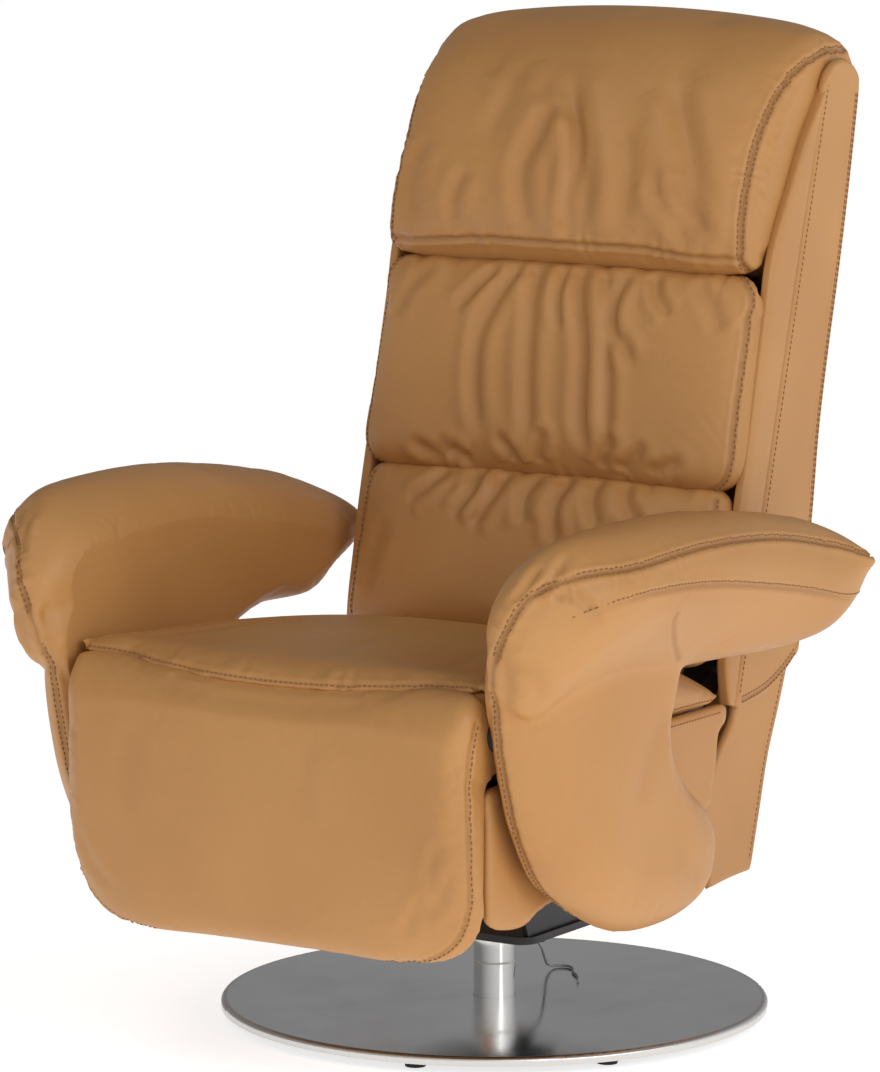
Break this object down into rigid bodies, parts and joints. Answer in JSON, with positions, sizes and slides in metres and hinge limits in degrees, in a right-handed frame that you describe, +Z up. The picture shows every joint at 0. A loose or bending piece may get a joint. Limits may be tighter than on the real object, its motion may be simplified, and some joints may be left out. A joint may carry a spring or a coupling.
{
  "type": "swivel recliner",
  "caption": "Padded swivel recliner on a round polished disc base, with reclining back, tilting head section, lifting footrest and flared loop arms.",
  "frame": {"origin": "on the floor, on the swivel axis", "axes": "+Z up along the swivel axis, -Y the way the chair faces, +X towards the left arm of someone seated"},
  "size_m": [0.802, 0.842, 1.0739],
  "materials": {
    "tan_leather": "satin",
    "polished_steel": "polished",
    "ballast_iron": "matte",
    "black_rubber": "matte",
    "zinc_steel": "satin",
    "bearing_plastic": "matte",
    "black_steel": "satin",
    "webbing": "matte",
    "plywood": "matte",
    "foam": "matte",
    "black_plastic": "matte",
    "grey_cable": "matte"
  },
  "bodies": {
    "base": {"base_cover": "polished_steel", "base_weight_plate": "ballast_iron", "base_feet": "black_rubber", "column_post": "polished_steel", "post_bolts": "zinc_steel", "column_bushes": "bearing_plastic", "thrust_washer": "bearing_plastic"},
    "footrest": {"footrest_panel": "tan_leather", "footrest_board": "plywood", "footrest_hinge_tube": "black_steel", "footrest_lever": "black_steel"},
    "foot_rod": {"foot_rod": "zinc_steel"},
    "back_rod": {"back_rod": "zinc_steel"},
    "backrest": {"back_post_left": "black_steel", "back_post_right": "black_steel", "back_hinge_plates": "black_steel", "back_hinge_tube": "black_steel", "back_cross_tubes": "black_steel", "back_webbing": "webbing", "back_pad": "foam", "back_rear_panel": "tan_leather", "back_wing_left": "tan_leather", "back_wing_right": "tan_leather", "skirt_rear": "tan_leather", "skirt_side_left": "tan_leather", "skirt_side_right": "tan_leather", "lumbar_cushion": "tan_leather", "back_cushion": "tan_leather", "head_hinge_lower": "black_steel"},
    "headrest": {"head_cushion": "tan_leather", "head_board": "plywood", "head_rear_panel": "tan_leather", "head_wing_left": "tan_leather", "head_wing_right": "tan_leather", "head_hinge_upper": "black_steel"},
    "seat": {"arm_left": "tan_leather", "arm_right": "tan_leather", "back_motor": "black_plastic", "column_collar": "polished_steel", "foot_motor": "black_plastic", "lead_cord": "grey_cable", "lead_housings": "black_plastic", "lead_plug": "polished_steel", "pivot_pins": "zinc_steel", "recline_bracket_left": "black_steel", "recline_bracket_right": "black_steel", "seat_cheek_left": "tan_leather", "seat_cheek_right": "tan_leather", "seat_cross_members": "black_steel", "seat_cushion": "tan_leather", "seat_rail_left": "black_steel", "seat_rail_right": "black_steel", "seat_webbing": "webbing", "side_bolts": "zinc_steel", "side_plate_left": "black_steel", "side_plate_right": "black_steel", "spindle_clip": "zinc_steel", "support_tower": "black_steel", "swivel_plate": "black_steel", "swivel_spindle": "polished_steel"}
  },
  "joints": [
    {"name": "swivel", "type": "hinge", "parent": "base", "child": "seat", "pos_m": [0, 0, 0.06], "axis": [0, 0, 1], "continuous": true},
    {"name": "recline", "type": "hinge", "parent": "seat", "child": "backrest", "pos_m": [0, 0.135, 0.385], "axis": [-1, 0, 0], "range_deg": [0, 36]},
    {"name": "head_tilt", "type": "hinge", "parent": "backrest", "child": "headrest", "pos_m": [0, 0.19106, 0.79929], "axis": [1, 0, 0], "range_deg": [0, 25]},
    {"name": "footrest_lift", "type": "hinge", "parent": "seat", "child": "footrest", "pos_m": [0, -0.402, 0.397], "axis": [-1, 0, 0], "range_deg": [0, 80]},
    {"name": "back_rod_slide", "type": "slide", "parent": "seat", "child": "back_rod", "axis": [0, -1, 0], "range_m": [0, 0.0736]},
    {"name": "foot_rod_slide", "type": "slide", "parent": "seat", "child": "foot_rod", "axis": [0, -1, 0], "range_m": [0, 0.0902]}
  ],
  "couplings": [
    {"joint": "back_rod_slide", "follows": "recline", "m_per_rad": 0.11688},
    {"joint": "foot_rod_slide", "follows": "footrest_lift", "m_per_rad": 0.064451}
  ]
}
